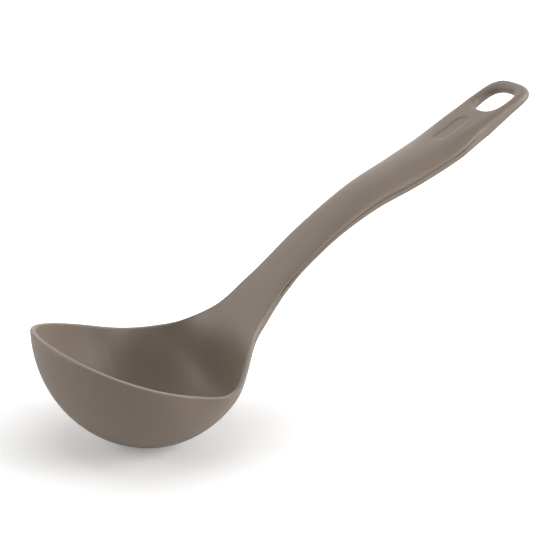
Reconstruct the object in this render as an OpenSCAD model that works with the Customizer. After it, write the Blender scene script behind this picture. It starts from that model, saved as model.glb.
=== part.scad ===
// Soup ladle. A deep egg-shaped bowl with a high front lip flows through a flat
// neck into an S-curved handle that ends in a rounded-square hanging eye.
// Bowl, neck, handle top and eye are one moulding with a hollow under the grip.
// A shallow cover closes that hollow, and its raised edge locates it inside the
// side walls of the moulding.
//
// Frame: +Z is up, +X runs from the bowl towards the handle, and the ladle is
// symmetric about the XZ plane. The origin is the middle of the small flat
// under the bowl.
//
// The edge line is the ladle's guide curve, seen from the side: it is the
// bowl's outer rim, then the lower corner of the neck, then the seam between
// the handle's top and its cover. Each section stands on it. A run is a
// distance along X between two places on it, and a rise is the height between them.

/* [Bowl] */
// Outside diameter of the bowl, across the ladle
bowl_d = 96; // [84:1:108]
// Half height of the egg that the bowl is part of
bowl_h = 52; // [46:1:58]
// How far the egg leans forward over its half height
bowl_lean = 1.9; // [0:0.1:4]
// Diameter of the flat under the bowl
foot_d = 14; // [10:1:20]
// Wall thickness of the bowl
wall = 2.3; // [1.6:0.1:3]

/* [Rim] */
// Height of the rim at the bowl's two sides, above the flat
side_z = 36.7; // [33:0.1:40]
// Height of the front lip above the rim at the sides
lip_rise = 18.8; // [14:0.2:25]
// Fall of the rim as it passes the sides, in mm a radian round the bowl
rim_fall = 13.4; // [6:0.2:18]
// Distance of the rim's lowest point in front of the bowl's back
dip_in = 25.9; // [22:0.1:30]
// Depth of the rim's lowest point below the rim at the sides
dip_drop = 2.6; // [0:0.1:5]
// Width across the rim at its lowest point
dip_w = 82.2; // [78:0.2:88]

/* [Neck] */
// Distance in front of the bowl's back at which the bowl starts to turn into the neck
merge_in = 27.2; // [22:0.1:30]
// Distance behind the bowl's back at which nothing of the bowl's shape is left
merge_out = 0.6; // [0:0.1:4]
// Distance in front of the bowl's back of the heel, where the rim turns up
heel_in = 17.5; // [14:0.1:20]
// Rise from the rim's lowest point to the heel
heel_rise = 3.5; // [1:0.1:6]
// Width of the heel
heel_w = 63.8; // [58:0.2:70]
// Distance in front of the bowl's back of the throat, where the flare ends
throat_in = 5.8; // [3:0.1:8]
// Rise from the heel to the throat
throat_rise = 8.5; // [6:0.1:11]
// Width of the throat
throat_w = 38.4; // [34:0.2:43]
// Distance of the neck behind the bowl's back
neck_out = 9; // [6:0.1:12]
// Rise from the throat to the neck
neck_rise = 13.1; // [10:0.1:16]
// Width of the neck
neck_w = 27.3; // [24:0.1:32]
// Height of the neck's top from the edge line
neck_top = 1.95; // [1.5:0.05:2.6]
// Depth of the neck's underside from the edge line
neck_under = 4.7; // [3.6:0.1:6]
// Depth by which the section sinks at each station from the neck into the bowl
root_sink = 1.4; // [1:0.1:2]
// Height of the neck's side edge
edge_h = 1; // [0.8:0.1:1.4]

/* [Handle] */
// Run from the neck to the waist, the handle's narrowest part
waist_run = 25.1; // [21:0.1:30]
// Rise from the neck to the waist
waist_rise = 19; // [15:0.1:23]
// Width of the waist
waist_w = 24.2; // [21:0.2:27]
// Height of the waist's top from the seam
waist_top = 3.3; // [3.2:0.1:4.6]
// Depth of the waist's underside from the seam
waist_under = 4; // [3.4:0.1:5]
// Run from the waist to where the handle swells
swell_run = 26; // [22:0.5:30]
// Rise from the waist to where the handle swells
swell_rise = 14.6; // [12:0.1:17]
// Width of the handle where it swells
swell_w = 24.8; // [22:0.2:29]
// Height of its top from the seam
swell_top = 5.5; // [4.6:0.1:6.6]
// Depth of its underside from the seam
swell_under = 4.9; // [4:0.1:5.8]
// Run from where the handle swells to the middle of the grip
grip_run = 22; // [18:0.5:26]
// Rise from where the handle swells to the middle of the grip
grip_rise = 8.4; // [6:0.1:11]
// Width of the grip
grip_w = 27.9; // [25:0.1:32]
// Height of the grip's top from the seam
grip_top = 6.1; // [5.2:0.1:7.2]
// Depth of the grip's underside from the seam
grip_under = 5.1; // [4.2:0.1:6]
// Run from the middle of the grip to its end, where the handle turns up again
end_run = 23; // [19:0.5:27]
// Rise from the middle of the grip to its end
end_rise = 10.9; // [8:0.1:13]
// Width of the grip's end
end_w = 30.4; // [27:0.1:33]
// Height of the top of the grip's end from the seam
end_top = 4.1; // [3.6:0.1:5]
// Depth of the underside of the grip's end from the seam
end_under = 5.5; // [4.6:0.1:6.4]
// Rounding of the underside's two corners
under_round = 3.8; // [3:0.1:6]
// Wall thickness of the handle's top and of its side walls
shell_t = 2.2; // [1.6:0.1:2.6]

/* [Eye] */
// Run from the end of the grip to where the flat eye begins
eye_run = 13.8; // [11:0.2:17]
// Rise from the end of the grip to where the eye begins
eye_rise = 8.3; // [7:0.1:10]
// Slope of the eye, in degrees
eye_slope = 25.5; // [20:0.5:34]
// Width of the eye
eye_w = 27.6; // [25:0.1:30]
// Length of the eye, from where it begins to the handle's end
eye_l = 29.8; // [28.5:0.1:34]
// Depth of the underside where the eye begins
root_under = 5.8; // [5:0.1:7]
// Distance from there in which the underside thins to that of the bars
root_l = 26; // [17:0.5:29]
// Height of the top of the eye's bars from the seam
eye_top = 2.7; // [2.4:0.1:4]
// Depth of the underside of the eye's bars from the seam
eye_under = 2.1; // [1.6:0.1:4]
// Length of the hole
hole_l = 17.5; // [14:0.1:18]
// Width of the hole
hole_w = 17.3; // [12:0.1:18]
// Distance of the hole's middle from where the eye begins
hole_at = 15.2; // [14:0.1:16]
// Rounding over the edges of the eye's bars
bar_round = 2.5; // [1.6:0.1:3]
// Rounding over the lower edge of the hole at its start, which fades towards its end
hole_round = 6.5; // [2.5:0.1:7]

/* [Cover] */
// Run from the neck to where the hollow and its cover begin
cover_run = 5; // [5:0.5:12]
// Distance of the cover's end in front of the end of the grip
cover_end = 0; // [-4:0.5:8]
// Wall thickness of the cover
cover_t = 1.6; // [1.2:0.1:2]
// Step from the moulding's side in to the cover's, which shows as a seam
seam_step = 0.4; // [0.2:0.05:0.8]
// Length over which that step fades out at the cover's two ends
step_fade = 8; // [4:0.5:14]
// Height of the cover's raised edge
lip_h = 0.6; // [0.5:0.1:0.9]
// Thickness of the cover's raised edge
lip_t = 0.9; // [0.7:0.1:1.2]
// Gap between the cover's raised edge or ends and the moulding
fit_gap = 0.15; // [0.05:0.05:0.3]

/* [Hidden] */

// Sampling: half the points across, rows round the front of the bowl, from its
// sides to the hollow, along the hollow and from there to the eye, lines round the
// eye beyond its corner, rings of it, and half the points across the cover
half_n = 12;
front_n = 10;
bowl_n = 26;
hollow_n = 20;
solid_n = 6;
bend_n = 14;
ring_n = 7;
cover_n = 8;

// Powers of the rounded outlines: section edges, the hole and the handle's end
edge_power = 2.3;
hole_power = 2.8;
end_power = 3.4;

// Power with which the bowl's walls turn outward towards the flared rim
flare_power = 4;
// Angle that the top's arc spans at the neck
neck_arc = 40;
// How far the underside turns from an arc to a flat with rounded corners
flatness = 0.76;
// Width of the top's shoulders where the eye begins, in roundings of its bars
root_shoulder = 1.6;
// Greatest cosine of an arc's half angle, so that no arc closes up
arc_limit = 0.99;
// Least value under a square root or a fraction's line, and the step that slopes are taken over
tiny = 0.001;
step = 0.01;

taupe = [0.54, 0.49, 0.45];
dark_taupe = [0.5, 0.45, 0.41];

bowl_r = bowl_d / 2;
foot_r = foot_d / 2;
egg_z = bowl_h * sqrt(1 - pow(foot_r / bowl_r, 2));
lean = bowl_lean / bowl_h;
lip_z = side_z + lip_rise;

side_x = -lean * side_z;
dip_x = bowl_r - dip_in;
dip_z = side_z - dip_drop;
merge_x = bowl_r - merge_in;
heel_x = bowl_r - heel_in;
heel_z = dip_z + heel_rise;
throat_x = bowl_r - throat_in;
throat_z = heel_z + throat_rise;
free_x = bowl_r + merge_out;
neck_x = bowl_r + neck_out;
neck_z = throat_z + neck_rise;
waist_x = neck_x + waist_run;
waist_z = neck_z + waist_rise;
swell_x = waist_x + swell_run;
swell_z = waist_z + swell_rise;
grip_x = swell_x + grip_run;
grip_z = swell_z + grip_rise;
end_x = grip_x + end_run;
end_z = grip_z + end_rise;
eye_x = end_x + eye_run;
eye_z = end_z + eye_rise;
// Place from which the top's shoulders narrow
narrow_x = (grip_x + end_x) / 2;

row_w = 2 * half_n + 1;

function lerp(a, b, t) = a + (b - a) * t;
function clamp01(t) = min(1, max(0, t));
function smooth(t) = let (u = clamp01(t)) u * u * (3 - 2 * u);
// Quarter-round profile: 0 at an edge, 1 once x widths inside it
function round_off(x) = pow(1 - pow(1 - clamp01(x), edge_power), 1 / edge_power);

// Stations of the guide curve: x, z, half width, top height, underside height
side_w = bowl_r * sqrt(1 - pow((side_z - egg_z) / bowl_h, 2));
function sunk(steps) = [neck_top - steps * root_sink, -neck_under - steps * root_sink];
stations = [
    [side_x, side_z, side_w, each sunk(4)],
    [dip_x, dip_z, dip_w / 2, each sunk(3)],
    [heel_x, heel_z, heel_w / 2, each sunk(2)],
    [throat_x, throat_z, throat_w / 2, each sunk(1)],
    [neck_x, neck_z, neck_w / 2, each sunk(0)],
    [waist_x, waist_z, waist_w / 2, waist_top, -waist_under],
    [swell_x, swell_z, swell_w / 2, swell_top, -swell_under],
    [grip_x, grip_z, grip_w / 2, grip_top, -grip_under],
    [end_x, end_z, end_w / 2, end_top, -end_under],
    [eye_x, eye_z, eye_w / 2, eye_top, -root_under]
];
last_station = len(stations) - 1;

// What each size gains per mm along X at a station. At the two ends it carries
// on from the front rim and into the flat eye.
function span(i) = stations[i + 1][0] - stations[i][0];
function gain(i) = (stations[i + 1] - stations[i]) / span(i);
slopes = [
    for (i = [0 : last_station])
        i == 0 ? [1, -rim_fall / side_w, 0, 0, 0]
            : i == last_station ? [1, tan(eye_slope), 0, 0, 0]
            : (gain(i - 1) * span(i) + gain(i) * span(i - 1)) / (span(i - 1) + span(i))
];

// Smooth curve through the stations, and its direction
function span_at(x, i = last_station - 1) = i == 0 || stations[i][0] <= x ? i : span_at(x, i - 1);
function guide(x) =
    let (i = span_at(x), h = span(i), u = (x - stations[i][0]) / h)
    lerp(stations[i], stations[i + 1], u * u * (3 - 2 * u))
        + h * u * (1 - u) * (slopes[i] * (1 - u) - slopes[i + 1] * u);
function slope(x) = let (d = guide(x + step) - guide(x - step)) atan2(d[1], d[0]);
free_slope = slope(free_x);

// Tilt of a section's plane: it fans back through the bowl, then stands square to the edge line
function tilt(x) =
    x < free_x ? lerp(atan(lean), free_slope, sin(90 * (x - side_x) / (free_x - side_x)))
               : lerp(slope(x), eye_slope, smooth((x - end_x) / (eye_x - end_x)));

// Section of an egg with half width a and half height c, by the plane of a row:
// [half width at the edge line, depth of its lowest point, angle that its arc spans]
function egg_section(p, up, a, c) =
    let (x0 = p[0] + lean * p[1], dx = up[0] + lean * up[1], z0 = p[1] - egg_z, dz = up[1],
         qa = dx * dx / (a * a) + dz * dz / (c * c),
         qb = 2 * (x0 * dx / (a * a) + z0 * dz / (c * c)),
         qc = x0 * x0 / (a * a) + z0 * z0 / (c * c),
         mid = -qb / (2 * qa), half = sqrt(max(tiny, (1 - qc) / qa + mid * mid)))
    [a * sqrt(max(tiny, 1 - qc)), mid - half, acos(min(arc_limit, mid / half))];

// Position across a row, from 0 in the middle to 1 at the edge. The second
// point lies on the outline of the foot.
function egg_angle(z, c) = acos((egg_z - z) / c);
function across(j, span) =
    let (first = asin(foot_r / bowl_r) / span)
    j == 0 ? 0 : lerp(first, 1, (abs(j) - 1) / (half_n - 1));
side_span = egg_angle(side_z, bowl_h);

// Curve across a section, as [share of the half width, share of the height]. It
// blends from an arc of the given angle, in the bowl, to a rounded crown.
function curve(v, arc, crown, half_w, shoulder) =
    let (y0 = sin(arc * v) / sin(arc), h0 = (cos(arc * v) - cos(arc)) / (1 - cos(arc)),
         y1 = sin(90 * v), h1 = round_off((1 - y1) * half_w / shoulder))
    [lerp(y0, y1, crown), lerp(h0, h1, crown)];

// Entries of a row, the section behind the bowl's sides: its point on the edge
// line, its up direction, its half width outside and inside, and what these would
// be without the flare, the heights of its edge, top and underside, the angle its
// arcs span, how far the top has turned into a crown and how wide that crown's
// shoulders are, and the same of the underside
POINT = 0;
UP = 1;
OUTER_W = 2;
INNER_W = 3;
OUTER_BASE = 4;
INNER_BASE = 5;
EDGE = 6;
TOP = 7;
UNDER = 8;
ARC = 9;
CROWN = 10;
SHOULDER = 11;
BOX = 12;
CORNER = 13;
function row(x) =
    let (g = guide(x), a = tilt(x), up = [-sin(a), cos(a)], w = g[2],
         egg_share = 1 - smooth((x - merge_x) / (free_x - merge_x)),
         flare_share = 1 - smooth((x - dip_x) / (throat_x - dip_x)),
         box_share = lerp(smooth(flatness * (1 - egg_share)), 1, smooth((x - end_x) / (eye_x - end_x))),
         in_bowl = egg_share > 0,
         outer = in_bowl ? egg_section(g, up, bowl_r, bowl_h) : [0, 0, neck_arc],
         inner = in_bowl ? egg_section(g, up, bowl_r - wall, bowl_h - wall) : [0, 0, neck_arc],
         turn = 90 * (1 - egg_share),
         face = lerp(edge_h, wall, egg_share),
         inner_w = w - face * cos(turn))
    [
        [x, g[1]], up, w, inner_w,
        lerp(w, outer[0], flare_share),
        lerp(inner_w, inner[0], flare_share),
        face * sin(turn) * (1 - smooth((x - waist_x) / (eye_x - waist_x))),
        lerp(g[3], inner[1], egg_share),
        lerp(g[4], outer[1], egg_share),
        lerp(neck_arc, outer[2], egg_share),
        smooth((x - heel_x) / (waist_x - heel_x)),
        lerp(w, bar_round * root_shoulder, smooth((x - narrow_x) / (eye_x - narrow_x))),
        box_share,
        lerp(w, under_round, box_share)
    ];

function place(r, y, d) = [r[POINT][0] + r[UP][0] * d, y, r[POINT][1] + r[UP][1] * d];
function flared(base, w, v) = lerp(base, w, pow(v, flare_power));
function upper_point(r, j) =
    let (v = across(j, side_span), c = curve(v, r[ARC], r[CROWN], r[OUTER_W], r[SHOULDER]))
    place(r, sign(j) * flared(r[INNER_BASE], r[INNER_W], v) * c[0], lerp(r[EDGE], r[TOP], c[1]));
function under_curve(r, v) = curve(v, r[ARC], r[BOX], r[OUTER_W], r[CORNER]);
function lower_point(r, j) =
    let (v = across(j, side_span), c = under_curve(r, v),
         p = place(r, sign(j) * flared(r[OUTER_BASE], r[OUTER_W], v) * c[0], r[UNDER] * c[1]))
    [p[0], p[1], max(0, p[2])];

// The hollow: its outermost points are on the seam, then its sides rise past the
// cover's raised edge to the ceiling
function hollow_point(r, j) =
    let (n = half_n - 2, v = sin(90 * min(1, abs(j) / n)), w = r[OUTER_W] - shell_t,
         ceiling = (r[TOP] - shell_t) * round_off((1 - v) * w / min(w, r[SHOULDER])))
    place(r, sign(j) * w * v, abs(j) > n ? 0 : max(lip_h + fit_gap, ceiling));
// Straight line between the hollow's outermost points, which divides its end walls
function level_point(r, j) =
    place(r, sign(j) * (r[OUTER_W] - shell_t) * sin(90 * abs(j) / (half_n - 1)), 0);

// Front rows are meridians of the egg, at an angle round from the lip
function rim_z(angle) =
    side_z + (lip_z - side_z) * pow(cos(angle), 2) + rim_fall * (cos(angle) - pow(cos(angle), 2));
function meridian_point(angle, j, a, c) =
    let (span = egg_angle(rim_z(angle), c), b = span * across(j, egg_angle(rim_z(angle), bowl_h)),
         z = egg_z - c * cos(b), x = -lean * z - a * sin(b) * cos(angle))
    [x, sign(j) * a * sin(b) * sin(angle), max(0, z)];

first_hollow = front_n + bowl_n;
last_hollow = first_hollow + hollow_n;
last = last_hollow + solid_n;
hollow_from = neck_x + cover_run;
hollow_to = end_x - cover_end;
function row_x(i) =
    i < first_hollow ? lerp(side_x, hollow_from, (i - front_n) / bowl_n)
        : i < last_hollow ? lerp(hollow_from, hollow_to, (i - first_hollow) / hollow_n)
        : lerp(hollow_to, eye_x, (i - last_hollow) / solid_n);
rows = [for (i = [0 : last]) i < front_n ? [] : row(row_x(i))];

// Vertices: upper rows, lower edge corners, then lower rows. There are three of
// these, of different kinds, where the hollow begins and where it ends.
function front_point(i, j, depth) = meridian_point(90 * i / front_n, j, bowl_r - depth, bowl_h - depth);
upper_grid = [
    for (i = [0 : last], j = [-half_n : half_n])
        i < front_n ? front_point(i, j, wall) : upper_point(rows[i], j)
];
function solid_point(i, j) = i < front_n ? front_point(i, j, 0) : lower_point(rows[i], j);
edge_grid = [for (i = [0 : last], side = [-1, 1]) solid_point(i, side * half_n)];
SOLID = 0;
LEVEL = 1;
HOLLOW = 2;
function kinds(i) =
    i == first_hollow ? [SOLID, LEVEL, HOLLOW]
        : i == last_hollow ? [HOLLOW, LEVEL, SOLID]
        : i > first_hollow && i < last_hollow ? [HOLLOW] : [SOLID];
lower_rows = [for (i = [0 : last], kind = kinds(i)) [i, kind]];
lower_grid = [
    for (r = lower_rows, j = [1 - half_n : half_n - 1])
        r[1] == HOLLOW ? hollow_point(rows[r[0]], j)
            : r[1] == LEVEL ? level_point(rows[r[0]], j) : solid_point(r[0], j)
];
edge_at = len(upper_grid);
lower_at = edge_at + len(edge_grid);
eye_at = lower_at + len(lower_grid);

// The pole is one vertex of all front rows, and the lip's row is its own mirror.
// A level row shares the hollow's outermost points.
function upper(i, j) =
    i < front_n && j == 0 ? upper(front_n, 0) : i == 0 ? half_n + abs(j) : i * row_w + j + half_n;
function lower(r, j) =
    let (i = lower_rows[r][0], shared = lower_rows[r][1] == LEVEL && abs(j) == half_n - 1)
    abs(j) == half_n ? (i == last ? upper(i, j) : edge_at + 2 * i + (j < 0 && i > 0 ? 0 : 1))
        : i < front_n && j == 0 ? lower(front_n, 0)
        : shared ? lower(i == first_hollow ? r + 1 : r - 1, j)
        : lower_at + r * (row_w - 2) + (i == 0 ? abs(j) : j) + half_n - 1;

// The eye: lines run from its outline in to the hole, all towards the hole's middle
eye_half = eye_w / 2;
front_l = eye_l - hole_at;
line_n = half_n + bend_n;
corner_angle = atan2(eye_half, -hole_at);
function line_angle(m) =
    m <= half_n ? atan2(eye_half * sin(90 * across(m, side_span)), -hole_at)
                : corner_angle * (line_n - m) / bend_n;
function super_radius(angle, a, b, power) =
    pow(pow(abs(cos(angle)) / a, power) + pow(abs(sin(angle)) / b, power), -1 / power);
function outline_radius(angle) =
    angle > 90 ? min(eye_half / max(tiny, sin(angle)), hole_at / max(tiny, -cos(angle)))
               : super_radius(angle, front_l, eye_half, end_power);
// Thickness share at a point s along and y across the eye
function eye_share(s, y, root_round, start_round) =
    let (front = max(0, s - hole_at) / front_l, side = abs(y) / eye_half,
         out = s > hole_at ? pow(pow(front, end_power) + pow(side, end_power), 1 / end_power) : side,
         hole = pow(pow(abs(s - hole_at) / (hole_l / 2), hole_power) + pow(abs(y) / (hole_w / 2), hole_power),
                    1 / hole_power),
         shoulder = lerp(root_round, bar_round, smooth(s / (hole_at - hole_l / 4))),
         inner_round = lerp(start_round, bar_round, smooth(s / (hole_at + hole_l / 2))))
    round_off((1 - out) * eye_half / shoulder) * round_off((hole - 1) * hole_w / 2 / inner_round);
function eye_plan(m, g) =
    let (angle = line_angle(m), out = outline_radius(angle),
         hole = super_radius(angle, hole_l / 2, hole_w / 2, hole_power),
         radius = lerp(out, hole, (1 - cos(180 * g / ring_n)) / 2))
    [hole_at + radius * cos(angle), radius * sin(angle)];
function eye_point(q, g, top) =
    let (m = q <= line_n ? q : 2 * line_n - q, side = q <= line_n ? -1 : 1, p = eye_plan(m, g),
         height = top ? eye_top : -lerp(root_under, eye_under, sin(90 * min(1, p[0] / root_l))),
         flat = g == ring_n || g == 0,
         root_round = rows[last][top ? SHOULDER : CORNER], start_round = top ? bar_round : hole_round,
         d = flat ? 0 : height * eye_share(p[0], p[1], root_round, start_round))
    [eye_x + p[0] * cos(eye_slope) - d * sin(eye_slope), side * p[1],
     eye_z + p[0] * sin(eye_slope) + d * cos(eye_slope)];
// Each line has its outline and hole vertex, then its inner upper and lower vertices
line_w = 2 * ring_n;
eye_grid = [
    for (q = [0 : 2 * line_n - 1], k = [0 : line_w - 1])
        k < 2 ? eye_point(q, k * ring_n, true)
            : k <= ring_n ? eye_point(q, k - 1, true)
            : eye_point(q, k - ring_n, false)
];
function eye_vertex(q, g, top) =
    let (c = q % (2 * line_n), m = c <= line_n ? c : 2 * line_n - c, j = c <= line_n ? -m : m)
    g == 0 && m <= half_n ? (top ? upper(last, j) : lower(len(lower_rows) - 1, j))
        : g == 0 ? eye_at + c * line_w
        : g == ring_n ? eye_at + c * line_w + 1
        : eye_at + c * line_w + (top ? g + 1 : ring_n + g);

// Two triangles of a four-sided cell, without those that have shrunk to a line
function cell(a, b, c, d) = [
    for (t = [[a, b, c], [a, c, d]])
        if (t[0] != t[1] && t[1] != t[2] && t[2] != t[0]) t
];

body_faces = [
    for (i = [0 : last - 1], j = [-half_n : half_n - 1])
        each cell(upper(i, j), upper(i, j + 1), upper(i + 1, j + 1), upper(i + 1, j)),
    for (r = [0 : len(lower_rows) - 2], j = [-half_n : half_n - 1])
        each cell(lower(r, j), lower(r + 1, j), lower(r + 1, j + 1), lower(r, j + 1)),
    for (r = [0 : len(lower_rows) - 2])
        let (i = lower_rows[r][0], n = lower_rows[r + 1][0])
        if (n > i)
            each concat(
                cell(lower(r, -half_n), upper(i, -half_n), upper(n, -half_n), lower(r + 1, -half_n)),
                cell(lower(r, half_n), lower(r + 1, half_n), upper(n, half_n), upper(i, half_n))
            ),
    for (q = [0 : 2 * line_n - 1], g = [0 : ring_n - 1])
        each concat(
            cell(eye_vertex(q, g, true), eye_vertex(q, g + 1, true),
                 eye_vertex(q + 1, g + 1, true), eye_vertex(q + 1, g, true)),
            cell(eye_vertex(q, g, false), eye_vertex(q + 1, g, false),
                 eye_vertex(q + 1, g + 1, false), eye_vertex(q, g + 1, false))
        )
];

module ladle_body() {
    color(taupe)
        polyhedron(points = concat(upper_grid, edge_grid, lower_grid, eye_grid), faces = body_faces);
}

// Step from the moulding's side in to the cover's, which fades out at its two ends
function step_at(x) =
    seam_step * smooth((x - hollow_from) / step_fade) * smooth((hollow_to - x) / step_fade);
// A section of the cover, as one loop: outside from side to side, up round one
// raised edge, back along the inside, and down round the other
function cover_section(r) =
    let (w = r[OUTER_W] - step_at(r[POINT][0]),
         lip_w = r[OUTER_W] - shell_t - fit_gap, in_w = lip_w - lip_t,
         outside = [for (j = [-cover_n : cover_n])
             let (c = under_curve(r, abs(j) / cover_n))
             place(r, sign(j) * w * c[0], r[UNDER] * c[1])],
         inside = [for (j = [-cover_n : cover_n])
             let (c = under_curve(r, abs(j) / cover_n))
             place(r, -sign(j) * in_w * c[0], (r[UNDER] + cover_t) * c[1])])
    concat(
        outside,
        [place(r, lip_w, 0), place(r, lip_w, lip_h), place(r, in_w, lip_h)],
        inside,
        [place(r, -in_w, lip_h), place(r, -lip_w, lip_h), place(r, -lip_w, 0)]
    );

cover_w = 2 * cover_n + 1;
// The six corners of the two raised edges come on top of the outside and the inside
loop_n = 2 * cover_w + 6;
// The cover's two end sections stay a fit gap clear of the moulding
full_sections = [for (i = [first_hollow : last_hollow]) cover_section(rows[i])];
function pulled_in(i, next) =
    let (share = fit_gap * cos(slope(row_x(first_hollow + i))) * hollow_n / (hollow_to - hollow_from))
    lerp(full_sections[i], full_sections[next], share);
cover_sections = [
    for (i = [0 : hollow_n])
        i == 0 ? pulled_in(0, 1) : i == hollow_n ? pulled_in(i, i - 1) : full_sections[i]
];
// End face of the cover: a strip between outside and inside, and the two raised edges
function cover_cap(at) =
    let (inner = at + cover_w + 3, loop_end = at + loop_n - 1)
    concat(
        [for (j = [1 : cover_w - 3])
            each cell(at + j, at + j + 1, inner + cover_w - 2 - j, inner + cover_w - 1 - j)],
        [[at, at + 1, loop_end], [at + 1, inner + cover_w - 2, inner + cover_w - 1]],
        [[at + 1, inner + cover_w - 1, loop_end]],
        [[at + cover_w - 2, at + cover_w - 1, at + cover_w], [at + cover_w - 2, at + cover_w, inner],
         [at + cover_w - 2, inner, inner + 1]],
        cell(at + cover_w, at + cover_w + 1, at + cover_w + 2, inner),
        cell(loop_end, inner + cover_w - 1, loop_end - 2, loop_end - 1)
    );
function flipped(faces) = [for (f = faces) [f[2], f[1], f[0]]];

module handle_cover() {
    color(dark_taupe)
        polyhedron(
            points = [for (section = cover_sections) each section],
            faces = concat(
                cover_cap(0),
                flipped(cover_cap(hollow_n * loop_n)),
                [for (i = [0 : hollow_n - 1], k = [0 : loop_n - 1])
                    let (n = (k + 1) % loop_n, a = i * loop_n, b = a + loop_n)
                    each cell(a + k, b + k, b + n, a + n)]
            )
        );
}

ladle_body();
handle_cover();
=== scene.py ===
"""Looks of the soup ladle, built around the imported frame.

Both pieces are rebuilt here as smooth meshes from the same sections as the solids:
the rim and edges are rounded, the seam is a fine groove, and a plain shallow
recess lies on top of the grip.
"""

import math

import bmesh
import bpy
import numpy as np
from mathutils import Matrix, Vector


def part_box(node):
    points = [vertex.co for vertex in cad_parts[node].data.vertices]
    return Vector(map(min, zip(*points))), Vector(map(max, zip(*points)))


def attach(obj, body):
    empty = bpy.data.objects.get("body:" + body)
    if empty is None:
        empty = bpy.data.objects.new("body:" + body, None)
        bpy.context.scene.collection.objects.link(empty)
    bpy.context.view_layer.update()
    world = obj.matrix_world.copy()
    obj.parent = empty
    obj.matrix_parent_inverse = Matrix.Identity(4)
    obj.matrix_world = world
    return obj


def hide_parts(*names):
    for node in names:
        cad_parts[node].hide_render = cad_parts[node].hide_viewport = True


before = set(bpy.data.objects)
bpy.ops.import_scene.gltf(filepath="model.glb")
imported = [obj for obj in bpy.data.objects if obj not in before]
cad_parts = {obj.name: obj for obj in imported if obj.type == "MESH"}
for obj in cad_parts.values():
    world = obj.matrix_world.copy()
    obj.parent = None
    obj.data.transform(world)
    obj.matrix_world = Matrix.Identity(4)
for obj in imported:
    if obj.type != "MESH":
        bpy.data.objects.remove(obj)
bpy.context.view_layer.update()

MM = 0.001

# Sizes in mm, angles in degrees, shares and powers, as in the solids
BOWL_R = 48.0
BOWL_H = 52.0
BOWL_LEAN = 1.9
FOOT_R = 7.0
WALL = 2.3
SIDE_Z = 36.7
LIP_RISE = 18.8
RIM_FALL = 13.4
DIP_IN = 25.9
DIP_DROP = 2.6
DIP_W = 82.2
MERGE_IN = 27.2
MERGE_OUT = 0.6
HEEL_IN = 17.5
HEEL_RISE = 3.5
HEEL_W = 63.8
THROAT_IN = 5.8
THROAT_RISE = 8.5
THROAT_W = 38.4
NECK_OUT = 9.0
NECK_RISE = 13.1
NECK_W = 27.3
NECK_TOP = 1.95
NECK_UNDER = 4.7
ROOT_SINK = 1.4
EDGE_H = 1.0
WAIST_RUN = 25.1
WAIST_RISE = 19.0
WAIST_W = 24.2
WAIST_TOP = 3.3
WAIST_UNDER = 4.0
SWELL_RUN = 26.0
SWELL_RISE = 14.6
SWELL_W = 24.8
SWELL_TOP = 5.5
SWELL_UNDER = 4.9
GRIP_RUN = 22.0
GRIP_RISE = 8.4
GRIP_W = 27.9
GRIP_TOP = 6.1
GRIP_UNDER = 5.1
END_RUN = 23.0
END_RISE = 10.9
END_W = 30.4
END_TOP = 4.1
END_UNDER = 5.5
UNDER_ROUND = 3.8
SHELL_T = 2.2
EYE_RUN = 13.8
EYE_RISE = 8.3
EYE_SLOPE = 25.5
EYE_W = 27.6
EYE_L = 29.8
ROOT_UNDER = 5.8
ROOT_L = 26.0
EYE_TOP = 2.7
EYE_UNDER = 2.1
HOLE_L = 17.5
HOLE_W = 17.3
HOLE_AT = 15.2
BAR_ROUND = 2.5
HOLE_ROUND = 6.5
COVER_RUN = 5.0
COVER_T = 1.6
SEAM_STEP = 0.4
STEP_FADE = 8.0
LIP_H = 0.6
LIP_T = 0.9
FIT_GAP = 0.15
FLARE_POWER = 4
NECK_ARC = 40.0
FLATNESS = 0.76
ROOT_SHOULDER = 1.6
EDGE_POWER = 2.3
HOLE_POWER = 2.8
END_POWER = 3.4

# Roundings and gaps that only the looks have, in mm
RIM_ROUND = 0.8
NECK_ROUND = 0.5
SEAM_ROUND = 0.3
SEAM_GAP = 0.42
GROOVE_DEPTH = 0.6
GROOVE_START = 50.0
GROOVE_END = 166.0

# Plain recess on the grip, in mm: middle along X, half length, half width, depth, edge width
RECESS_X = 157.5
RECESS_HALF_L = 9.5
RECESS_HALF_W = 3.8
RECESS_DEPTH = 0.4
RECESS_EDGE = 0.6

# Largest share of a side edge that one rounding takes, and of a line that a cut takes
ROUND_SHARE = 0.45
CUT_SHARE = 0.5

# Edges that turn by more than this many degrees stay sharp
SHARP_ANGLE = 40

# Vertices closer than MERGE_DIST become one, and faces flatter than FLAT_DIST go, in metres
MERGE_DIST = 2e-6
FLAT_DIST = 1e-7

# Guards against roots of numbers below zero, arcs of no length and division by zero
TINY = 0.001
ARC_LIMIT = 0.99
LEAST = 1e-9

# Step in mm for the slope of the guide curve
SLOPE_STEP = 0.01

# Mesh density
HALF_N = 44
CORNER_N = 6
FRONT_N = 44
BOWL_N = 130
HOLLOW_N = 170
SOLID_N = 60
BEND_N = 44
RING_N = 26
COVER_N = 26

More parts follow.
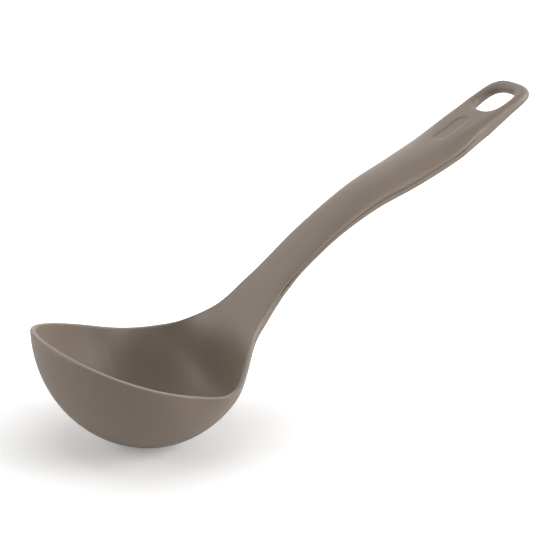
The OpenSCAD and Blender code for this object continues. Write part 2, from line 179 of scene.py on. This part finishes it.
EGG_Z = BOWL_H * math.sqrt(1 - (FOOT_R / BOWL_R) ** 2)
LEAN = BOWL_LEAN / BOWL_H
LIP_Z = SIDE_Z + LIP_RISE
SIDE_X = -LEAN * SIDE_Z
SIDE_W = BOWL_R * math.sqrt(1 - ((SIDE_Z - EGG_Z) / BOWL_H) ** 2)
DIP_X = BOWL_R - DIP_IN
DIP_Z = SIDE_Z - DIP_DROP
MERGE_X = BOWL_R - MERGE_IN
HEEL_X = BOWL_R - HEEL_IN
HEEL_Z = DIP_Z + HEEL_RISE
THROAT_X = BOWL_R - THROAT_IN
THROAT_Z = HEEL_Z + THROAT_RISE
FREE_X = BOWL_R + MERGE_OUT
NECK_X = BOWL_R + NECK_OUT
NECK_Z = THROAT_Z + NECK_RISE
WAIST_X = NECK_X + WAIST_RUN
WAIST_Z = NECK_Z + WAIST_RISE
SWELL_X = WAIST_X + SWELL_RUN
SWELL_Z = WAIST_Z + SWELL_RISE
GRIP_X = SWELL_X + GRIP_RUN
GRIP_Z = SWELL_Z + GRIP_RISE
END_X = GRIP_X + END_RUN
END_Z = GRIP_Z + END_RISE
EYE_X = END_X + EYE_RUN
EYE_Z = END_Z + EYE_RISE
NARROW_X = (GRIP_X + END_X) / 2
HOLLOW_FROM = NECK_X + COVER_RUN
HOLLOW_TO = END_X


def lerp(a, b, t):
    return a + (b - a) * t


def smooth(t):
    u = np.clip(t, 0.0, 1.0)
    return u * u * (3 - 2 * u)


def round_off(x):
    """Quarter-round profile: 0 at an edge, 1 once x widths inside it."""
    return (1 - (1 - np.clip(x, 0.0, 1.0)) ** EDGE_POWER) ** (1 / EDGE_POWER)


def sin_d(a):
    return np.sin(np.radians(a))


def cos_d(a):
    return np.cos(np.radians(a))


def tan_d(a):
    return np.tan(np.radians(a))


def sunk(steps):
    return (NECK_TOP - steps * ROOT_SINK, -NECK_UNDER - steps * ROOT_SINK)


# Stations of the guide curve: x, z, half width, top height, underside height
STATIONS = np.array([
    (SIDE_X, SIDE_Z, SIDE_W, *sunk(4)),
    (DIP_X, DIP_Z, DIP_W / 2, *sunk(3)),
    (HEEL_X, HEEL_Z, HEEL_W / 2, *sunk(2)),
    (THROAT_X, THROAT_Z, THROAT_W / 2, *sunk(1)),
    (NECK_X, NECK_Z, NECK_W / 2, *sunk(0)),
    (WAIST_X, WAIST_Z, WAIST_W / 2, WAIST_TOP, -WAIST_UNDER),
    (SWELL_X, SWELL_Z, SWELL_W / 2, SWELL_TOP, -SWELL_UNDER),
    (GRIP_X, GRIP_Z, GRIP_W / 2, GRIP_TOP, -GRIP_UNDER),
    (END_X, END_Z, END_W / 2, END_TOP, -END_UNDER),
    (EYE_X, EYE_Z, EYE_W / 2, EYE_TOP, -ROOT_UNDER),
])
SPANS = np.diff(STATIONS[:, 0])[:, None]
GAINS = np.diff(STATIONS, axis=0) / SPANS
SLOPES = np.vstack((
    [1, -RIM_FALL / SIDE_W, 0, 0, 0],
    (GAINS[:-1] * SPANS[1:] + GAINS[1:] * SPANS[:-1]) / (SPANS[:-1] + SPANS[1:]),
    [1, tan_d(EYE_SLOPE), 0, 0, 0],
))


def guide(x):
    """Point of the edge line: x, z, half width, top height, underside height."""
    i = int(np.clip(np.searchsorted(STATIONS[:, 0], x, "right") - 1, 0, len(SPANS) - 1))
    h = SPANS[i, 0]
    u = (x - STATIONS[i, 0]) / h
    bow = h * u * (1 - u) * (SLOPES[i] * (1 - u) - SLOPES[i + 1] * u)
    return lerp(STATIONS[i], STATIONS[i + 1], u * u * (3 - 2 * u)) + bow


def slope(x):
    d = guide(x + SLOPE_STEP) - guide(x - SLOPE_STEP)
    return math.degrees(math.atan2(d[1], d[0]))


FREE_SLOPE = slope(FREE_X)


def tilt(x):
    if x < FREE_X:
        turn = sin_d(90 * (x - SIDE_X) / (FREE_X - SIDE_X))
        return lerp(math.degrees(math.atan(LEAN)), FREE_SLOPE, turn)
    return lerp(slope(x), EYE_SLOPE, smooth((x - END_X) / (EYE_X - END_X)))


def egg_section(p, up, a, c):
    """Half width, depth of the lowest point and arc of an egg cut by a row's plane."""
    x0, dx = p[0] + LEAN * p[1], up[0] + LEAN * up[1]
    z0, dz = p[1] - EGG_Z, up[1]
    qa = dx * dx / (a * a) + dz * dz / (c * c)
    qb = 2 * (x0 * dx / (a * a) + z0 * dz / (c * c))
    qc = x0 * x0 / (a * a) + z0 * z0 / (c * c)
    mid = -qb / (2 * qa)
    half = math.sqrt(max(TINY, (1 - qc) / qa + mid * mid))
    arc = math.degrees(math.acos(min(ARC_LIMIT, mid / half)))
    return a * math.sqrt(max(TINY, 1 - qc)), mid - half, arc


def egg_angle(z, c):
    return math.degrees(math.acos((EGG_Z - z) / c))


SIDE_SPAN = egg_angle(SIDE_Z, BOWL_H)


def across(span, n):
    """Positions across half a row, from 0 in the middle to 1 at the edge.

    The second one lies on the outline of the foot.
    """
    first = math.degrees(math.asin(FOOT_R / BOWL_R)) / span
    return np.concatenate(([0.0], np.linspace(first, 1.0, n)))


def curve(v, arc, crown, half_w, shoulder):
    y0 = sin_d(arc * v) / sin_d(arc)
    h0 = (cos_d(arc * v) - cos_d(arc)) / (1 - cos_d(arc))
    y1 = sin_d(90 * v)
    h1 = round_off((1 - y1) * half_w / shoulder)
    return lerp(y0, y1, crown), lerp(h0, h1, crown)


class Row:
    """One section of the ladle, standing on the edge line at x."""

    def __init__(self, x):
        g = guide(x)
        a = tilt(x)
        self.x = x
        self.p = (x, g[1])
        self.up = (-sin_d(a), cos_d(a))
        self.w = g[2]
        egg_share = 1 - smooth((x - MERGE_X) / (FREE_X - MERGE_X))
        flare_share = 1 - smooth((x - DIP_X) / (THROAT_X - DIP_X))
        eye_share = smooth((x - END_X) / (EYE_X - END_X))
        self.box_share = lerp(smooth(FLATNESS * (1 - egg_share)), 1, eye_share)
        self.crown = smooth((x - HEEL_X) / (WAIST_X - HEEL_X))
        outer = inner = (0.0, 0.0, NECK_ARC)
        if egg_share > 0:
            outer = egg_section(self.p, self.up, BOWL_R, BOWL_H)
            inner = egg_section(self.p, self.up, BOWL_R - WALL, BOWL_H - WALL)
        turn = 90 * (1 - egg_share)
        face = lerp(EDGE_H, WALL, egg_share)
        self.inner_w = self.w - face * cos_d(turn)
        self.outer_base = lerp(self.w, outer[0], flare_share)
        self.inner_base = lerp(self.inner_w, inner[0], flare_share)
        self.edge = face * sin_d(turn) * (1 - smooth((x - WAIST_X) / (EYE_X - WAIST_X)))
        self.top = lerp(g[3], inner[1], egg_share)
        self.under = lerp(g[4], outer[1], egg_share)
        self.arc = lerp(NECK_ARC, outer[2], egg_share)
        narrowed = smooth((x - NARROW_X) / (EYE_X - NARROW_X))
        self.shoulder = lerp(self.w, BAR_ROUND * ROOT_SHOULDER, narrowed)
        self.corner = lerp(self.w, UNDER_ROUND, self.box_share)
        self.egg_share = egg_share

    def place(self, y, d):
        y, d = np.broadcast_arrays(np.asarray(y, float), np.asarray(d, float))
        return np.stack([self.p[0] + self.up[0] * d, y, self.p[1] + self.up[1] * d], axis=-1)

    def upper(self, n):
        v = across(SIDE_SPAN, n)
        y, h = curve(v, self.arc, self.crown, self.w, self.shoulder)
        y = lerp(self.inner_base, self.inner_w, v ** FLARE_POWER) * y
        return self.place(y, lerp(self.edge, self.top, h) - recess(self.x, y))

    def lower(self, n):
        v = across(SIDE_SPAN, n)
        y, h = curve(v, self.arc, self.box_share, self.w, self.corner)
        line = self.place(lerp(self.outer_base, self.w, v ** FLARE_POWER) * y, self.under * h)
        line[:, 2] = np.maximum(line[:, 2], 0.0)
        return line

    def hollow(self, n):
        """Underside of the moulding where it is hollow: ceiling, inner side and seam face."""
        v = sin_d(90 * np.linspace(0, 1, n - 2))
        w = self.w - SHELL_T
        side_h = LIP_H + FIT_GAP
        ceiling = np.maximum(side_h, (self.top - SHELL_T) * round_off((1 - v) * w / min(w, self.shoulder)))
        y = np.concatenate((w * v, [w, self.w - SHELL_T / 2, self.w]))
        return self.place(y, np.concatenate((ceiling, [0.0, 0.0, 0.0])))

    def roundings(self):
        """Radii at the upper and lower corner of the side edge."""
        plain = lerp(NECK_ROUND, RIM_ROUND, self.egg_share)
        return plain, lerp(plain, SEAM_ROUND, smooth((self.x - NECK_X) / COVER_RUN))

    def groove(self):
        """Depth of the line that carries the seam on where there is no cover."""
        start = smooth((self.x - GROOVE_START) / (HOLLOW_FROM - GROOVE_START))
        return GROOVE_DEPTH * start * (1 - smooth((self.x - HOLLOW_TO) / (GROOVE_END - HOLLOW_TO)))


def recess(x, y):
    """Depth of the plain oblong recess at a point of the grip's top."""
    along = abs(x - RECESS_X) / cos_d(EYE_SLOPE)
    over = np.maximum(along - (RECESS_HALF_L - RECESS_HALF_W), 0.0)
    inside = RECESS_HALF_W - np.sqrt(over ** 2 + y ** 2)
    return RECESS_DEPTH * smooth(inside / RECESS_EDGE)


def rim_z(angle):
    c = cos_d(angle)
    return SIDE_Z + (LIP_Z - SIDE_Z) * c * c + RIM_FALL * (c - c * c)


def meridian(angle, n, a, c):
    """Line from the pole of an egg to the rim, at an angle round from the lip."""
    b = egg_angle(rim_z(angle), c) * across(egg_angle(rim_z(angle), BOWL_H), n)
    z = EGG_Z - c * cos_d(b)
    line = np.stack([-LEAN * z - a * sin_d(b) * cos_d(angle), a * sin_d(b) * sin_d(angle), z], axis=-1)
    line[:, 2] = np.maximum(line[:, 2], 0.0)
    return line


def cut(line, length):
    """The line resampled so that it ends that length short of its end."""
    s = np.concatenate(([0.0], np.cumsum(np.linalg.norm(np.diff(line, axis=0), axis=1))))
    at = s * (1 - min(length, CUT_SHARE * s[-1]) / s[-1])
    return np.stack([np.interp(at, s, line[:, k]) for k in range(3)], axis=-1)


def bend(a, corner, b):
    u = np.linspace(0, 1, CORNER_N + 2)[1:-1, None]
    return (1 - u) ** 2 * a + 2 * u * (1 - u) * corner + u * u * b


def half_loop(upper, lower, upper_r, lower_r):
    """Half a section, from the middle of the top round the edge to the middle of the underside."""
    a, b = upper[-1], lower[-1]
    gap = max(np.linalg.norm(b - a), LEAST)
    from_a = lerp(a, b, min(upper_r, ROUND_SHARE * gap) / gap)
    from_b = lerp(b, a, min(lower_r, ROUND_SHARE * gap) / gap)
    u, low = cut(upper, upper_r), cut(lower, lower_r)
    upper_bend = bend(u[-1], a, from_a)
    lower_bend = bend(from_b, b, low[-1])
    return np.concatenate((u, upper_bend, [from_a, from_b], lower_bend, low[::-1]))


def full_loop(half):
    left = half[-2:0:-1] * (1, -1, 1)
    return np.concatenate((half, left))


def add_grid(bm, grid, closed):
    """Quads between rows of points, which close on themselves across if closed."""
    verts = [[bm.verts.new(p * MM) for p in row] for row in grid]
    for r0, r1 in zip(verts[:-1], verts[1:]):
        n = len(r0)
        for k in range(n if closed else n - 1):
            m = (k + 1) % n
            bm.faces.new((r0[k], r0[m], r1[m], r1[k]))
    return verts


def keep_inside(bm, node):
    """Draws the vertices in to the box of the CAD node wherever they pass it."""
    low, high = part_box(node)
    for k in range(3):
        values = [v.co[k] for v in bm.verts]
        start, end = min(values), max(values)
        new_start, new_end = max(start, low[k]), min(end, high[k])
        for v in bm.verts:
            v.co[k] = new_start + (v.co[k] - start) * (new_end - new_start) / (end - start)


def new_piece(name, node, bm, material):
    """Turns a bmesh into a smooth closed object of the ladle."""
    bmesh.ops.remove_doubles(bm, verts=bm.verts[:], dist=MERGE_DIST)
    bmesh.ops.dissolve_degenerate(bm, dist=FLAT_DIST, edges=bm.edges[:])
    bmesh.ops.recalc_face_normals(bm, faces=bm.faces[:])
    keep_inside(bm, node)
    mesh = bpy.data.meshes.new(name)
    bm.to_mesh(mesh)
    bm.free()
    mesh.shade_smooth()
    mesh.set_sharp_from_angle(angle=math.radians(SHARP_ANGLE))
    piece = bpy.data.objects.new(name, mesh)
    bpy.context.scene.collection.objects.link(piece)
    piece.data.materials.append(material)
    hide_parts(node)
    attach(piece, "root")
    return piece


def eye_grids():
    """Points of the eye's top and underside, in lines from its outline in to the hole."""
    half = EYE_W / 2
    front_l = EYE_L - HOLE_AT
    corner = math.degrees(math.atan2(half, -HOLE_AT))
    near = np.degrees(np.arctan2(half * sin_d(90 * across(SIDE_SPAN, HALF_N)), -HOLE_AT))
    angles = np.concatenate((near, corner * np.linspace(1, 0, BEND_N + 1)[1:]))
    share = (1 - np.cos(np.linspace(0, math.pi, RING_N + 1))) / 2
    root = Row(EYE_X)
    grids = []
    for top in (True, False):
        lines = []
        for angle in angles:
            c, s = cos_d(angle), sin_d(angle)
            if angle > 90:
                out = min(half / max(LEAST, s), HOLE_AT / max(LEAST, -c))
            else:
                out = ((abs(c) / front_l) ** END_POWER + (s / half) ** END_POWER) ** (-1 / END_POWER)
            hole = (abs(c) / (HOLE_L / 2)) ** HOLE_POWER + (s / (HOLE_W / 2)) ** HOLE_POWER
            hole = hole ** (-1 / HOLE_POWER)
            radius = lerp(out, hole, share)
            along, y = HOLE_AT + radius * c, radius * s
            front = np.maximum(0, along - HOLE_AT) / front_l
            rounded = (front ** END_POWER + (y / half) ** END_POWER) ** (1 / END_POWER)
            reach = np.where(along > HOLE_AT, rounded, y / half)
            hole_reach = ((np.abs(along - HOLE_AT) / (HOLE_L / 2)) ** HOLE_POWER
                          + (y / (HOLE_W / 2)) ** HOLE_POWER) ** (1 / HOLE_POWER)
            root_round = root.shoulder if top else root.corner
            start_round = BAR_ROUND if top else HOLE_ROUND
            shoulder = lerp(root_round, BAR_ROUND, smooth(along / (HOLE_AT - HOLE_L / 4)))
            inner_round = lerp(start_round, BAR_ROUND, smooth(along / (HOLE_AT + HOLE_L / 2)))
            by_outline = round_off((1 - reach) * half / shoulder)
            by_hole = round_off((hole_reach - 1) * HOLE_W / 2 / inner_round)
            under = -lerp(ROOT_UNDER, EYE_UNDER, sin_d(90 * np.clip(along / ROOT_L, 0, 1)))
            d = by_outline * by_hole * (EYE_TOP if top else under)
            lines.append(np.stack([
                EYE_X + along * cos_d(EYE_SLOPE) - d * sin_d(EYE_SLOPE), y,
                EYE_Z + along * sin_d(EYE_SLOPE) + d * cos_d(EYE_SLOPE)], axis=-1))
        mirrored = [line * (1, -1, 1) for line in lines[-2:0:-1]]
        whole = lines + mirrored
        grids.append(np.array(whole + whole[:1]))
    return grids


def make_body(material):
    bm = bmesh.new()
    rows = []
    for i in range(FRONT_N):
        angle = 90 * i / FRONT_N
        half = half_loop(
            meridian(angle, HALF_N, BOWL_R - WALL, BOWL_H - WALL), meridian(angle, HALF_N, BOWL_R, BOWL_H),
            RIM_ROUND, RIM_ROUND)
        rows.append(full_loop(half))

    def hollow(x):
        row = Row(x)
        return full_loop(half_loop(row.upper(HALF_N), row.hollow(HALF_N), *row.roundings()))

    def solid(x):
        """A solid section, its lower corner drawn in to a groove where the seam runs on."""
        row = Row(x)
        upper_r, lower_r = row.roundings()
        half = half_loop(row.upper(HALF_N), row.lower(HALF_N), upper_r, lower_r)
        # The lower bend follows the upper line, the upper bend and the two points of the side edge
        first = HALF_N + 1 + CORNER_N + 2
        pull = np.sin(np.linspace(0, math.pi, CORNER_N + 2))[1:-1] * row.groove()
        half[first:first + CORNER_N, 1] -= pull
        return full_loop(half)

    rows += [solid(x) for x in np.linspace(SIDE_X, HOLLOW_FROM, BOWL_N + 1)]
    rows += [hollow(x) for x in np.linspace(HOLLOW_FROM, HOLLOW_TO, HOLLOW_N + 1)]
    rows += [solid(x) for x in np.linspace(HOLLOW_TO, EYE_X, SOLID_N + 1)]
    add_grid(bm, rows, True)
    for grid in eye_grids():
        add_grid(bm, grid, False)
    return new_piece("ladle_moulding", "ladle_body", bm, material)


def seam_step(x):
    return SEAM_STEP * smooth((x - HOLLOW_FROM) / STEP_FADE) * smooth((HOLLOW_TO - x) / STEP_FADE)


def cover_loop(x):
    row = Row(x)
    v = np.linspace(0, 1, COVER_N + 1)
    y, h = curve(v, row.arc, row.box_share, row.w, row.corner)
    w = row.w - seam_step(x)
    lip_w = row.w - SHELL_T - FIT_GAP
    in_w = lip_w - LIP_T
    outside = cut(row.place(w * y, row.under * h), SEAM_ROUND + SEAM_GAP)
    edge = row.place(w, -SEAM_GAP)
    face = row.place(w - SEAM_ROUND, -SEAM_GAP)
    corner = bend(outside[-1], edge, face)
    lip = row.place([w - SEAM_ROUND, lip_w, lip_w, in_w], [-SEAM_GAP, -SEAM_GAP, LIP_H, LIP_H])
    inside = row.place(in_w * y, (row.under + COVER_T) * h)[::-1]
    return full_loop(np.concatenate((outside, corner, lip, inside)))


def make_cover(material):
    bm = bmesh.new()
    start = HOLLOW_FROM + FIT_GAP * cos_d(slope(HOLLOW_FROM))
    end = HOLLOW_TO - FIT_GAP * cos_d(slope(HOLLOW_TO))
    rows = [cover_loop(x) for x in np.linspace(start, end, HOLLOW_N + 1)]
    verts = add_grid(bm, rows, True)
    half = len(rows[0]) // 2
    for loop in (verts[0], verts[-1]):
        # An end is a strip between the outside and the inside of each half
        n = len(loop)
        for side in (1, -1):
            ring = [loop[(side * k) % n] for k in range(half + 1)]
            low, high = 0, half
            while high - low > 1:
                quad = [ring[low], ring[low + 1], ring[high - 1], ring[high]]
                bm.faces.new(quad if high - 1 > low + 1 else quad[:2] + quad[3:])
                low += 1
                high -= 1
    return new_piece("grip_cover", "handle_cover", bm, material)


class Nodes:
    """Short calls for building a material's node tree."""

    def __init__(self, name):
        self.material = bpy.data.materials.new(name)
        self.material.use_nodes = True
        self.tree = self.material.node_tree
        self.shader = self.tree.nodes["Principled BSDF"]

    def add(self, kind, **values):
        node = self.tree.nodes.new(kind)
        for key, value in values.items():
            if hasattr(node, key):
                setattr(node, key, value)
            else:
                node.inputs[key].default_value = value
        return node

    def link(self, a, b):
        self.tree.links.new(a, b)


# Nylon: noise scales per metre, how far the noises change the tone, the range of
# roughness, the grain's strength and depth in metres, and the base colour
CLOUD_SCALE = 38.0
SPECKLE_SCALE = 2600.0
GRAIN_SCALE = 5200.0
CLOUD_TONE = 0.025
SPECKLE_TONE = 0.05
GLOSSIEST = 0.42
DULLEST = 0.52
GRAIN_STRENGTH = 0.35
GRAIN_DEPTH = 0.03 * MM
NYLON_IOR = 1.5
TAUPE = (0.214, 0.167, 0.131)


def nylon(name, base):
    """Satin moulded nylon: a fine grain, faint flow clouds and uneven gloss."""
    n = Nodes(name)
    at = n.add("ShaderNodeTexCoord").outputs["Object"]

    def noise(scale, detail):
        node = n.add("ShaderNodeTexNoise")
        node.inputs["Scale"].default_value = scale
        node.inputs["Detail"].default_value = detail
        n.link(at, node.inputs["Vector"])
        return node.outputs["Fac"]

    clouds = noise(CLOUD_SCALE, detail=3.0)
    speckle = noise(SPECKLE_SCALE, detail=2.0)
    grain = noise(GRAIN_SCALE, detail=3.0)

    def ramp(source, low_color, high_color, low, high):
        node = n.add("ShaderNodeValToRGB")
        node.color_ramp.elements[0].position = low
        node.color_ramp.elements[1].position = high
        node.color_ramp.elements[0].color = (*low_color, 1)
        node.color_ramp.elements[1].color = (*high_color, 1)
        n.link(source, node.inputs["Fac"])
        return node.outputs["Color"]

    def shade(f):
        return tuple(c * f for c in base)

    tone = ramp(clouds, shade(1 - CLOUD_TONE), shade(1 + CLOUD_TONE), low=0.35, high=0.65)
    fleck = ramp(speckle, (1 - SPECKLE_TONE,) * 3, (1 + SPECKLE_TONE,) * 3, low=0.3, high=0.7)
    mix = n.add("ShaderNodeMix", data_type="RGBA", blend_type="MULTIPLY")
    mix.inputs[0].default_value = 1.0
    n.link(tone, mix.inputs[6])
    n.link(fleck, mix.inputs[7])
    n.link(mix.outputs[2], n.shader.inputs["Base Color"])
    gloss = n.add("ShaderNodeMapRange")
    gloss.inputs["To Min"].default_value = GLOSSIEST
    gloss.inputs["To Max"].default_value = DULLEST
    n.link(clouds, gloss.inputs["Value"])
    n.link(gloss.outputs["Result"], n.shader.inputs["Roughness"])
    bump = n.add("ShaderNodeBump")
    bump.inputs["Strength"].default_value = GRAIN_STRENGTH
    bump.inputs["Distance"].default_value = GRAIN_DEPTH
    n.link(grain, bump.inputs["Height"])
    n.link(bump.outputs["Normal"], n.shader.inputs["Normal"])
    n.shader.inputs["IOR"].default_value = NYLON_IOR
    return n.material


body = make_body(nylon("nylon_body", TAUPE))
cover = make_cover(nylon("nylon_cover", TAUPE))

# Camera, fitted to the photograph: metres and degrees
CAMERA_AT = (-0.29437, -0.60893, 0.31925)
CAMERA_AZIMUTH = -30.4
CAMERA_ELEVATION = 19.9
CAMERA_LENS = 111.27

camera_data = bpy.data.cameras.new("camera")
camera_data.lens = CAMERA_LENS
camera_data.sensor_width = 36.0
camera = bpy.data.objects.new("camera", camera_data)
camera.location = CAMERA_AT
camera.rotation_euler = (math.radians(90 - CAMERA_ELEVATION), 0, math.radians(CAMERA_AZIMUTH))
bpy.context.scene.collection.objects.link(camera)
bpy.context.scene.camera = camera

# The floor: half its side in metres, and its grey and roughness
FLOOR_HALF = 6.0
FLOOR_TONE = 0.92
FLOOR_ROUGHNESS = 0.9

# Painted shade round the ladle: the floor's own glow for the camera is lowest by the ladle, which darkens
# the floor and deepens the shadow there, and rises to white between these distances from the bowl's
# middle, in metres
FLOOR_PAINTED_SHADE_GLOW = 0.19
PAINTED_SHADE_NEAR = 0.035
PAINTED_SHADE_FAR = 0.17


def make_floor():
    mesh = bpy.data.meshes.new("floor")
    signs = ((-1, -1), (1, -1), (1, 1), (-1, 1))
    mesh.from_pydata([(a * FLOOR_HALF, b * FLOOR_HALF, 0) for a, b in signs], [], [(0, 1, 2, 3)])
    floor = bpy.data.objects.new("floor", mesh)
    bpy.context.scene.collection.objects.link(floor)
    n = Nodes("floor_white_with_painted_shade")
    n.shader.inputs["Base Color"].default_value = (FLOOR_TONE, FLOOR_TONE, FLOOR_TONE, 1)
    n.shader.inputs["Roughness"].default_value = FLOOR_ROUGHNESS
    n.shader.inputs["Specular IOR Level"].default_value = 0.1
    # Painted shade: the camera glow grows with the distance from the ladle, so the floor by the bowl's
    # foot stays darker than the white floor further out
    glow = n.add("ShaderNodeEmission")
    path = n.add("ShaderNodeLightPath")
    at = n.add("ShaderNodeTexCoord").outputs["Object"]
    away = n.add("ShaderNodeVectorMath", operation="LENGTH")
    n.link(at, away.inputs[0])
    level = n.add("ShaderNodeMapRange")
    level.inputs["From Min"].default_value = PAINTED_SHADE_NEAR
    level.inputs["From Max"].default_value = PAINTED_SHADE_FAR
    level.inputs["To Min"].default_value = FLOOR_PAINTED_SHADE_GLOW
    level.inputs["To Max"].default_value = 1.0
    n.link(away.outputs["Value"], level.inputs["Value"])
    lift = n.add("ShaderNodeMath", operation="MULTIPLY")
    n.link(path.outputs["Is Camera Ray"], lift.inputs[0])
    n.link(level.outputs["Result"], lift.inputs[1])
    n.link(lift.outputs[0], glow.inputs["Strength"])
    both = n.add("ShaderNodeAddShader")
    n.link(n.shader.outputs[0], both.inputs[0])
    n.link(glow.outputs[0], both.inputs[1])
    n.link(both.outputs[0], n.tree.nodes["Material Output"].inputs["Surface"])
    mesh.materials.append(n.material)


make_floor()


# Where the lamps point and how far away they are, in metres
LAMP_TARGET = (0.06, 0.0, 0.06)
LAMP_DISTANCE = 1.8


def area_light(name, azimuth, elevation, size, power):
    """A square softbox that faces the ladle.

    The azimuth counts from the front (-Y) towards +X, in degrees. The size is in
    metres and the power in watts.
    """
    data = bpy.data.lights.new(name, "AREA")
    data.shape = "SQUARE"
    data.size = size
    data.energy = power
    lamp = bpy.data.objects.new(name, data)
    a, e = math.radians(azimuth), math.radians(elevation)
    back = (math.sin(a) * math.cos(e), -math.cos(a) * math.cos(e), math.sin(e))
    lamp.location = [LAMP_TARGET[k] + back[k] * LAMP_DISTANCE for k in range(3)]
    lamp.rotation_euler = (math.pi / 2 - e, 0, a)
    bpy.context.scene.collection.objects.link(lamp)


area_light("left_softbox", azimuth=-105, elevation=22, size=1.2, power=15)
area_light("right_softbox", azimuth=50, elevation=20, size=1.2, power=33)
area_light("side_softbox", azimuth=110, elevation=35, size=1.2, power=5)
area_light("far_right_softbox", azimuth=150, elevation=22, size=1.4, power=6)
area_light("far_left_softbox", azimuth=-150, elevation=35, size=1.4, power=4.5)
area_light("top_softbox", azimuth=0, elevation=88, size=1.6, power=6.5)

# The surroundings are white for what sees them directly or in gloss, and dim as a light
AMBIENT = 0.05
world = bpy.data.worlds.new("studio")
world.use_nodes = True
bpy.context.scene.world = world
tree = world.node_tree
background = tree.nodes["Background"]
path = tree.nodes.new("ShaderNodeLightPath")
seen = tree.nodes.new("ShaderNodeMath")
seen.operation = "MAXIMUM"
through = tree.nodes.new("ShaderNodeMath")
through.operation = "MAXIMUM"
level = tree.nodes.new("ShaderNodeMapRange")
level.inputs["To Min"].default_value = AMBIENT
level.inputs["To Max"].default_value = 1.0
tree.links.new(path.outputs["Is Camera Ray"], seen.inputs[0])
tree.links.new(path.outputs["Is Glossy Ray"], seen.inputs[1])
tree.links.new(seen.outputs[0], through.inputs[0])
tree.links.new(path.outputs["Is Transmission Ray"], through.inputs[1])
tree.links.new(through.outputs[0], level.inputs["Value"])
tree.links.new(level.outputs["Result"], background.inputs["Strength"])
background.inputs["Color"].default_value = (1, 1, 1, 1)

bpy.context.scene.view_settings.view_transform = "Standard"
